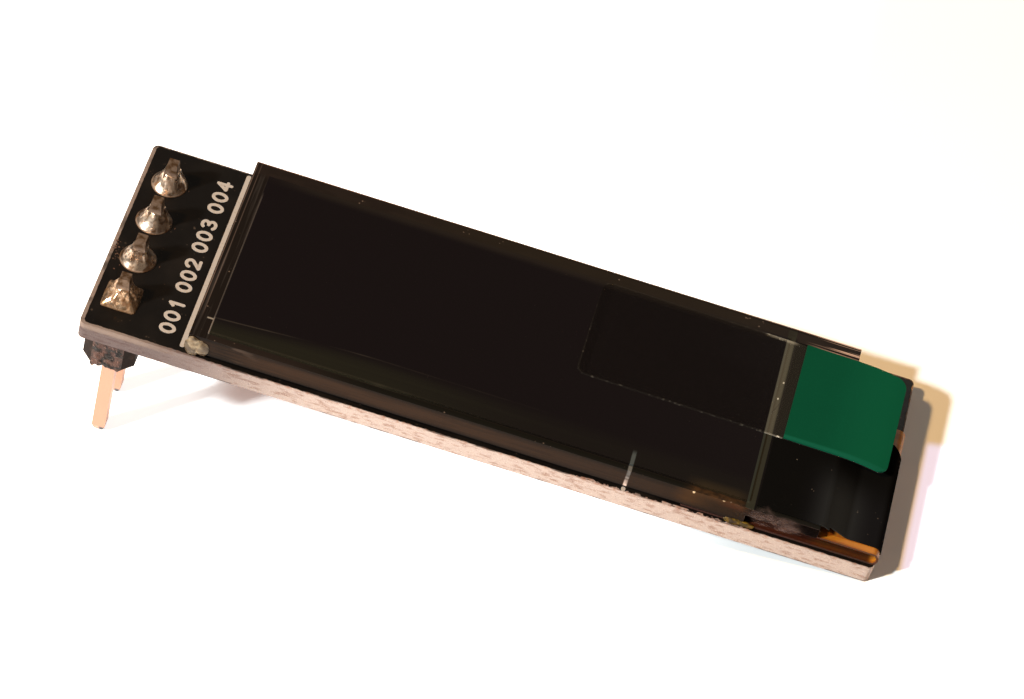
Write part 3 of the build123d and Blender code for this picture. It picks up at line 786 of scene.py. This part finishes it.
def flex_finish():
    """Amber film with darker bands over its copper tracks, painted shade on its lower leg in the fold and
    where it runs under the glass, and painted light on its upper leg towards the fold.
    """
    look = bpy.context.scene.metal_settings
    mat = Finish("amber_film_circuit", gloss=0.4, subsurface_weight=0.15, subsurface_scale=0.0003)
    x, y, z = mat.axes
    pitch = 0.62
    track = y.pingpong(pitch / 2).rise(pitch * 0.18, pitch * 0.22)
    cloud = mat.grain(0.5, (3, 1, 1), 4)
    end = x - FLEX_END.x
    lower = z.fall(0.3, 0.6)
    cut = y.fall(FLEX_START.y + 0.005, FLEX_START.y + 0.02)
    tone = mat.coats(
        look.amber,
        ((112, 56, 18), track * 0.5),
        ((80, 34, 12), cloud.rise(0.45, 0.8) * 0.4),
        # Painted shade: the lower leg, inside the fold, darker
        (mat.mix((60, 24, 13), (50, 21, 9), x.rise(33.5, 36)), lower * end.fall(-0.5, -0.2) * 0.92),
        # Painted light: the upper leg lighter towards the fold
        ((196, 122, 42), end.rise(-1.6, -0.4) * (1 - lower) * 0.35),
        # Painted shade: the lower leg darkest where it runs under the glass
        ((30, 19, 13), lower * x.fall(REAR_END.x - 0.1, REAR_END.x + 0.5) * 0.85),
        ((44, 20, 9), cut * 0.9),
        # Painted shade: darker where the film runs under the glass's ledge
        ((50, 21, 12), x.fall(34.7, 35.3) * 0.85),
    )
    return mat.relief(tone, 0.3 + 0.2 * cloud + 0.5 * cut, track + 0.4 * cloud, 0.012)


def adhesive_finish(name, tone, glow, shade):
    """Cured adhesive: cloudy, glossy and cracked, and darker a little way along."""
    mat = Finish(name, gloss=0.25)
    cloud = mat.grain(0.3, detail=5)
    dark = mat.grain(0.45, shift=4).rise(0.46, 0.6)
    inner = mat.x.within(GLASS_START.x + 0.6, GLASS_START.x + 3, 0.2)
    tone = mat.coats(tone, (glow, cloud.rise(0.42, 0.66)), (shade, dark.most(inner * 0.8) * 0.75))
    return mat.relief(tone, 0.22 + 0.3 * cloud, cloud, 0.04, 0.6)


def chip_part_finish(name, tone, dark):
    """A chip part's cloudy body."""
    mat = Finish(name)
    cloud = mat.grain(0.2, detail=4)
    tone = mat.mix(tone, dark, cloud.rise(0.4, 0.7))
    return mat.relief(tone, 0.4 + 0.2 * cloud, mat.grain(0.06), 0.01)


def lint_and_shade_finish():
    """Torn fibres in two tufts, and a painted shade over the ledge's near side."""
    mat = Finish("torn_fibre", gloss=0, roughness=0.9)
    x, y, z = mat.axes
    fibre = (104, 84, 78)
    inward = (y - GLASS_START.y).most(0)
    first = (abs(x - 32.5) + 0.9 * abs(z - 1) + 1.2 * inward).fall(0.2, 1)
    second = (abs(x - 33.5) + 1.2 * abs(z - 0.9) + 6 * inward).fall(0.3, 1.3)
    fuzz = mat.grain(0.3, (1.4, 1, 1), 2.5, 3).rise(0.3, 0.7)
    fuzz = first.most(second) * (0.1 + 0.9 * fuzz) * 0.6 * x.fall(34, 35)
    # Painted shade: a dark, nearly opaque sheet over the glass's near side above the ledge
    shade = x.rise(32.6, 34.2) * x.fall(GLASS_END.x - 0.02, GLASS_END.x)
    shade = shade * y.fall(GLASS_START.y - 0.03, GLASS_START.y - 0.01)
    shade = shade * z.rise(GLASS_START.z - 0.05, GLASS_START.z)
    tone = mat.coats((13, 9, 8), (fibre, fuzz), (fibre, 1 - shade))
    return mat.set(base_color=tone, alpha=fuzz.most(shade * 0.9).least(1))


class Maker(bpy.types.Operator):
    """Shared by the operators, which run in the order of their classes."""

    bl_options = {"REGISTER", "UNDO"}


class MODULE_OT_board(Maker):
    """Finish the circuit board's mask and cut sides"""

    bl_idname = "module.board"
    bl_label = "Circuit board"

    def execute(self, context):
        dress(board_finish(), "circuit_board")
        return {"FINISHED"}


class MODULE_OT_print(Maker):
    """Print the line beside the glass, the pins' numbers and the near tick"""

    bl_idname = "module.print_marks"
    bl_label = "Printed marks"

    def execute(self, context):
        look = context.scene.board_settings
        ink = print_finish()
        layer = look.print_thickness / MM
        line = bmesh.new()
        ribbon(line, [(LINE_PLACE, y) for y in LINE_ENDS], look.line_width / MM, 0, layer)
        ribbon(line, [(TICK_PLACE, y) for y in TICK_ENDS], TICK_WIDTH, 0, layer)
        add_piece("printed_line", line, ink)
        for number, (label, middle) in enumerate(zip(LABELS, LABEL_PLACES), start=1):
            add_piece(f"printed_number_{number}", self.label(look, label, middle, layer), ink)
        return {"FINISHED"}

    def label(self, look, text, middle, layer):
        """Numbers that read across the board, their tops towards the header."""
        shape = bmesh.new()
        stroke, pitch = look.stroke_width / MM, look.number_pitch / MM
        height, width = look.number_height / MM - stroke, look.number_width / MM - stroke
        start = middle - (pitch * (len(text) - 1) + width) / 2
        for count, figure in enumerate(text):
            left = start + count * pitch
            for order, path in enumerate(NUMBER_STROKES[figure]):
                laid = [(LABEL_BASE - stroke / 2 - v * height, left + u * width) for u, v in path]
                # Later strokes are thinner, to keep out of the first one's plane
                ribbon(shape, laid, stroke, 0, layer * (1 - 0.1 * order))
        return shape


class MODULE_OT_header(Maker):
    """Finish the spacer and pins, and add the rough face where the spacer was snapped"""

    bl_idname = "module.header"
    bl_label = "Pin header"

    def execute(self, context):
        dress(spacer_finish(), "header_spacer")
        dress(pin_finish(), *PINS)
        add_piece("snapped_face", self.snapped_face(), fracture_finish())
        return {"FINISHED"}

    def snapped_face(self):
        """A lumpy skin over the spacer's near end, with a ragged lower edge."""
        shape = bmesh.new()
        steps_across, steps_down = 26, 40
        chamfer, tear = 0.5, 0.3
        left, right = SPACER_START.x + chamfer, SPACER_END.x - chamfer
        rows = []
        for down in range(steps_down + 1):
            row = []
            for across in range(steps_across + 1):
                u, v = across / steps_across, down / steps_down
                x = left + u * (right - left)
                torn = tear * max(0, noise.noise(Vector((x * 3.4, 1, 0))) + 0.2)
                z = SPACER_END.z - v * (SPACER_END.z - SPACER_START.z + torn * v ** 3)
                border = min(u, 1 - u, v * 2, (1 - v) * 4 + 0.08)
                lump = noise.fractal(Vector((x * 2.6, 3, z * 2.6)), 0.8, 2, 5)
                depth = 0.02 + 0.16 * min(1, 6 * border) * (0.55 + 0.6 * lump)
                row.append(shape.verts.new((x, SPACER_START.y - max(0.005, depth), z)))
            rows.append(row)
        bridge(shape, rows)
        for vertex in extrude(shape, shape.faces[:]):
            vertex.co.y = SPACER_START.y
        return shape


class MODULE_OT_solder(Maker):
    """Replace the plain solder cones with lumpy drawn-up ones"""

    bl_idname = "module.solder"
    bl_label = "Solder joints"

    def execute(self, context):
        metal = solder_finish()
        for number, row in enumerate(PIN_ROWS, start=1):
            piece = add_piece(f"solder_cone_{number}", self.cone(number, row), metal, True)
            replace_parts(piece, f"solder_joint_{number}")
        dress(metal, "flex_joints", "chip_solder")
        return {"FINISHED"}

    def cone(self, number, row):
        """Rings from the hole's foot out to the pad, and up the pin on a hollow flank."""
        low, high = corners(f"solder_joint_{number}")
        pad = (high.x - low.x) / 2
        neck = PIN_SIDE / 2 + 0.06
        hole = PIN_SIDE * 0.78
        square = number == 1
        sides, climb = 64, 30
        rings = [(hole, low.z, 0), (hole, -0.01, 0), (pad, 0, 0)]
        for step in range(1, climb + 1):
            rise = step / climb
            swell = (1 - rise) ** 1.6
            rings.append((neck + (pad - neck) * swell, high.z * rise ** 0.9, min(1, 3 * rise)))
        shape = bmesh.new()
        levels = []
        for radius, height, rough in rings:
            rise = max(0, height / high.z)
            level = []
            for side in range(sides):
                x, y = cos(tau * side / sides), sin(tau * side / sides)
                corner = 0.6 * rise ** 2
                if square and height > -0.005:
                    corner = 0.9 * (1 - 0.5 * rise)
                squareness = 1 + (min(1 / max(abs(x), abs(y)), 1.36) - 1) * corner
                spot = Vector((x * 1.3, y * 1.3 + 9 * number, height * 0.9))
                lump = rough * (0.13 * noise.noise(spot) + 0.02 * noise.noise(spot * 3))
                if square:
                    lump += rough * (0.14 * noise.noise(spot * 2) + 0.07 * noise.noise(spot * 5))
                reach = max(neck - 0.05, radius * squareness + lump * (0.4 + radius))
                reach = min(reach, pad * (1.38 if square else 1))
                lift = high.z * 0.22 * noise.noise(Vector((x, y, 5 * number))) * rise
                top = min(max(height + lift, height * 0.8), high.z)
                level.append(shape.verts.new((PIN_X + x * reach, row + y * reach, top)))
            levels.append(level)
        bridge(shape, levels, closed=True)
        shape.faces.new(levels[0])
        shape.faces.new(levels[-1])
        return shape


class MODULE_OT_glass(Maker):
    """Finish the display's glass, seal and inner layers, and the tape under it"""

    bl_idname = "module.glass"
    bl_label = "Glass panel"

    def execute(self, context):
        dress(glass_finish(), "front_glass", "rear_glass", "edge_seal")
        dress(polarizer_finish(), "polarizer")
        dress(plain_finish("emitter_stack", (20, 18, 26), (34, 28, 44), 1, 0.1), "emitter_layer")
        dress(plain_finish("drying_paper", (226, 222, 212), (200, 194, 180), 0.3, 0.8), "drying_sheet")
        dress(plain_finish("bare_silicon", (74, 74, 82), (50, 50, 58), 0.8, 0.15), "driver_chip")
        dress(plain_finish("foam_tape", (40, 34, 30), (58, 50, 44), 0.2, 0.7, 0.03), "panel_tape")
        return {"FINISHED"}


class MODULE_OT_sheets(Maker):
    """Finish the flexible circuit, the tape over it, the clear film and its pull tab"""

    bl_idname = "module.sheets"
    bl_label = "Flexible circuit, tape and film"

    def execute(self, context):
        dress(flex_finish(), "flex_cable")
        dress(shield_finish(), "light_shield")
        dress(film_finish(), "clear_film")
        dress(tab_finish(), "pull_tab")
        return {"FINISHED"}


class MODULE_OT_adhesive(Maker):
    """Finish the two dabs of adhesive"""

    bl_idname = "module.adhesive"
    bl_label = "Adhesive dabs"

    def execute(self, context):
        look = context.scene.metal_settings
        pale = adhesive_finish("pale_adhesive", look.adhesive, (136, 120, 96), (52, 40, 29))
        amber = adhesive_finish("amber_adhesive", (104, 80, 12), (58, 34, 8), (12, 8, 5))
        dress(pale, "end_dab")
        dress(amber, "foot_dab")
        pale_lumps, amber_lumps = self.lumps(PALE_LUMPS), self.lumps(AMBER_LUMPS)
        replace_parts(add_piece("pale_lumps", pale_lumps, pale, True), "end_dab")
        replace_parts(add_piece("amber_lumps", amber_lumps, amber, True), "foot_dab")
        return {"FINISHED"}

    def lumps(self, places):
        """Uneven blobs that stay on the board's top, inside its near edge."""
        shape = bmesh.new()
        for centre, half, seed in places:
            for vertex in bmesh.ops.create_icosphere(shape, subdivisions=4, radius=1)["verts"]:
                swell = 1 + 0.2 * noise.fractal(vertex.co * 1.6 + Vector((0, 0, 7 * seed)), 0.9, 2, 4)
                x, y, z = [centre[axis] + vertex.co[axis] * half[axis] * swell for axis in range(3)]
                vertex.co = (x, max(y, BOARD_START.y + 0.01), max(z, 0))
        return shape


class MODULE_OT_crumbs(Maker):
    """Scatter crumbs of laminate and flux, and lay lint and a painted shade on the ledge"""

    bl_idname = "module.crumbs"
    bl_label = "Crumbs and lint"

    def execute(self, context):
        chance = random.Random(7)
        burrs, flux = bmesh.new(), bmesh.new()
        for _ in range(130):
            x = chance.uniform(23.8, 31.8)
            if noise.noise(Vector((x * 1.1, 4, 0))) > -0.25:
                size = chance.uniform(0.015, 0.06)
                spot = (x, BOARD_START.y + size + 0.01, chance.uniform(-0.05, 0.02))
                self.crumb(burrs, spot, (size * chance.uniform(1.5, 3.5), size, size), chance)
        grit = plain_finish("laminate_crumb", (132, 104, 94), (40, 28, 24), 0.2, 0.6)
        add_piece("laminate_burrs", burrs, grit)
        for _ in range(44):
            x = abs(chance.gauss(0.15, 0.25)) + 0.06
            spot = (x, chance.gauss(-0.8 - x, 0.35), 0.01)
            size = chance.uniform(0.01, 0.05)
            self.crumb(flux, spot, (size * 1.4, size, size * 0.7), chance)
        for row in PIN_ROWS[1:]:
            spot = (PIN_X + 0.98 + chance.uniform(-0.05, 0.1), row - 0.1, 0.01)
            self.crumb(flux, spot, (0.03, 0.09, 0.03), chance)
        burnt = plain_finish("flux_crumb", (96, 66, 50), (34, 20, 15), 0.12, 0.3)
        add_piece("flux_crumbs", flux, burnt)
        add_piece("ledge_lint", self.lint(), lint_and_shade_finish(), True)
        return {"FINISHED"}

    def crumb(self, shape, spot, size, chance):
        """One small broken lump, with its half sizes."""
        made = bmesh.ops.create_icosphere(shape, subdivisions=1, radius=1)
        turn = Matrix.Rotation(chance.uniform(0, tau), 3, "Z")
        for vertex in made["verts"]:
            point = turn @ (vertex.co * chance.uniform(0.6, 1))
            vertex.co = [spot[axis] + point[axis] * size[axis] for axis in range(3)]

    def lint(self):
        """A skin over the ledge's near side and a little way in over the tape, which carries the lint and
        the painted shade.
        """
        side, top = GLASS_START.y - 0.04, SHIELD_END.z + 0.01
        profile = ((side, GLASS_START.z - 0.3), (side, top - 0.06), (side + 0.05, top), (side + 0.8, top))
        start, end, steps = REAR_END.x - 0.6, GLASS_END.x + 0.4, 40
        shape = bmesh.new()
        rows = []
        for step in range(steps + 1):
            x = start + (end - start) * step / steps
            rows.append([shape.verts.new((x, y, z)) for y, z in profile])
        bridge(shape, rows)
        return shape


class MODULE_OT_chips(Maker):
    """Finish the regulator, capacitors and resistors under the board"""

    bl_idname = "module.chips"
    bl_label = "Chip parts"

    def execute(self, context):
        look = context.scene.metal_settings
        tin = plain_finish("tinned_lead", (190, 188, 182), (150, 146, 138), 0.3, 0.3, metallic=1)
        dress(plain_finish("moulded_epoxy", (30, 28, 28), (44, 42, 41), 0.25, 0.5), "regulator")
        dress(tin, "regulator_leads")
        dress(chip_part_finish("fired_ceramic", look.ceramic, (104, 66, 42)), *numbered("capacitor", 8))
        dress(chip_part_finish("glazed_resistor", (20, 20, 24), (34, 34, 38)), *numbered("resistor", 4))
        return {"FINISHED"}


def direction(azimuth, elevation):
    """The way to something, from its azimuth and elevation in radians."""
    return Vector((sin(azimuth) * cos(elevation), -cos(azimuth) * cos(elevation), sin(elevation)))


def looking_back(target, away, reach):
    """The pose of a camera or lamp that looks back at a target."""
    return Matrix.Translation(target + away * reach) @ away.to_track_quat("Z", "Y").to_matrix().to_4x4()


class MODULE_OT_stage(Maker):
    """Lay the floor, aim the camera and hang the lights"""

    bl_idname = "module.stage"
    bl_label = "Stage"

    def execute(self, context):
        scene = context.scene
        look = scene.stage_settings
        scene.view_settings.view_transform = "Standard"
        self.floor(look)
        self.camera(scene, look)
        for name, lamp in LIGHTS.items():
            self.light(name, getattr(look, f"{name}_power"), *lamp)
        world = bpy.data.worlds.new("pale_room")
        world.use_nodes = True
        background = world.node_tree.nodes["Background"]
        background.inputs["Color"].default_value = (*ROOM_TINT, 1)
        background.inputs["Strength"].default_value = ROOM_STRENGTH
        scene.world = world
        return {"FINISHED"}

    def floor(self, look):
        """A pale floor with painted light: it glows over its left part, which whitens the shadows there,
        fading out before the module's right end; it glows less and pinker in a painted shadow beside the
        module; and it glows bluish past the module's end, which hides a warm shadow fringe.
        """
        mat = Finish("pale_floor", roughness=0.8, gloss=0.1)
        x, y = mat.x, mat.y
        # Painted shadow: a pinkish patch beside and under the module, where the glow is dimmer
        shadow_patch = x.within(6, 24, 1.4) * y.within(-1.6, 3.4, 1.4)
        # Painted light: a bluish glow past the module's end that hides the warm light's shadow fringe
        fringe_glow = x.rise(39.15, 39.5) * x.fall(41.5, 43) * y.within(-7, 3, 0.3)
        light = mat.mix((240, 236, 234), (160, 136, 130), shadow_patch)
        # The glow is painted light that whitens the floor's shadows, fading out before the module's right
        # end
        mat.glow(mat.coats(BLACK, (light, x.fall(24, 33)), ((126, 144, 196), fringe_glow)))
        mat.set(base_color=mat.mix(look.floor, (242, 238, 233), mat.grain(40, detail=2)))
        shape = bmesh.new()
        bmesh.ops.create_grid(shape, x_segments=1, y_segments=1, size=FLOOR_REACH)
        place_mesh("floor", shape, mat)

    def camera(self, scene, look):
        """The camera looks at the display's face, as in the photograph."""
        data = bpy.data.cameras.new("camera")
        data.sensor_width = 36
        data.lens = look.lens
        data.clip_start = 0.01
        back = direction(look.azimuth, look.elevation)
        pose = looking_back(Vector(CAMERA_TARGET) * MM, back, look.distance)
        pose = Matrix.Translation(ORIGIN) @ TURN @ pose @ Matrix.Rotation(look.roll, 4, "Z")
        scene.camera = place("camera", data, pose)

    def light(self, name, power, azimuth, elevation, size, tint):
        """A square soft light, aimed at the board's middle."""
        data = bpy.data.lights.new(name, "AREA")
        data.size = size
        data.energy = power
        data.color = tint
        away = direction(radians(azimuth), radians(elevation))
        place(name, data, looking_back(BOARD @ Vector((BOARD_END.x / 2, 0, 0)), away, LIGHT_DISTANCE))


class MODULE_PT_panel(bpy.types.Panel):
    """The sidebar's list of pieces."""

    bl_label = "Display module"
    bl_idname = "MODULE_PT_panel"
    bl_space_type = "VIEW_3D"
    bl_region_type = "UI"
    bl_category = "Display module"

    def draw(self, context):
        for operator in OPERATORS:
            self.layout.operator(operator.bl_idname)
        for name, settings in SETTINGS.items():
            box = self.layout.box()
            for field in settings.__annotations__:
                box.prop(getattr(context.scene, name), field)


SETTINGS = {
    "board_settings": BoardSettings,
    "glass_settings": GlassSettings,
    "metal_settings": MetalSettings,
    "stage_settings": StageSettings,
}
OPERATORS = Maker.__subclasses__()
CLASSES = [*SETTINGS.values(), *OPERATORS, MODULE_PT_panel]


def register():
    for made in CLASSES:
        bpy.utils.register_class(made)
    for name, settings in SETTINGS.items():
        setattr(bpy.types.Scene, name, bpy.props.PointerProperty(type=settings))


def unregister():
    for name in SETTINGS:
        delattr(bpy.types.Scene, name)
    for made in reversed(CLASSES):
        bpy.utils.unregister_class(made)


def main():
    register()
    for operator in OPERATORS:
        family, piece = operator.bl_idname.split(".")
        getattr(getattr(bpy.ops, family), piece)()


if __name__ == "__main__":
    main()
